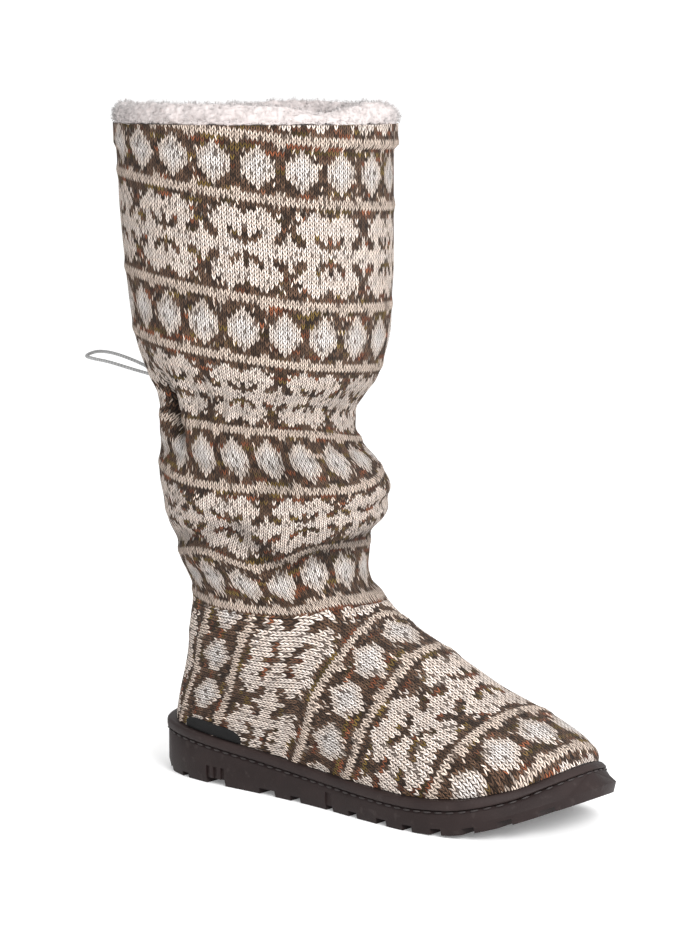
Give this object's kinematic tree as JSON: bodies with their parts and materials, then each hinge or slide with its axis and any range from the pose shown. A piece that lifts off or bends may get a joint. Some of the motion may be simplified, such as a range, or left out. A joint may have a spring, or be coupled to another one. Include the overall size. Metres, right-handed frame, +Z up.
{
  "type": "slipper boot",
  "caption": "Mid-calf knit slipper boot with a slouched shaft cinched by an elastic draw cord and cord lock, a fleece collar and a lugged rubber sole.",
  "frame": {"origin": "on the floor under the middle of the boot's plan box", "axes": "+X from the heel towards the toe, +Y towards the inner side of the foot, +Z up the shaft"},
  "size_m": [0.3389, 0.1326, 0.3534],
  "materials": {
    "sole_rubber": "matt moulded dark brown rubber",
    "welt_rubber": "matt dark brown rubber with a stitched groove",
    "knit": "brown and cream stranded wool knit",
    "fleece": "off-white curly fleece",
    "woven_tab": "plain black woven tab",
    "lock_plastic": "tan moulded plastic",
    "elastic_cord": "light grey braided elastic"
  },
  "bodies": {
    "boot": {"outsole": "sole_rubber", "welt": "welt_rubber", "insole": "fleece", "upper": "knit", "shaft": "knit", "fleece_cuff": "fleece", "side_tab": "woven_tab", "cord_lock": "lock_plastic", "draw_cord": "elastic_cord"},
    "lock_button": {"cord_lock_button": "lock_plastic"}
  },
  "joints": [
    {"name": "button_press", "type": "slide", "parent": "boot", "child": "lock_button", "axis": [0, -1, 0], "range_m": [0, 0.003], "stiffness_N_per_m": 250}
  ]
}
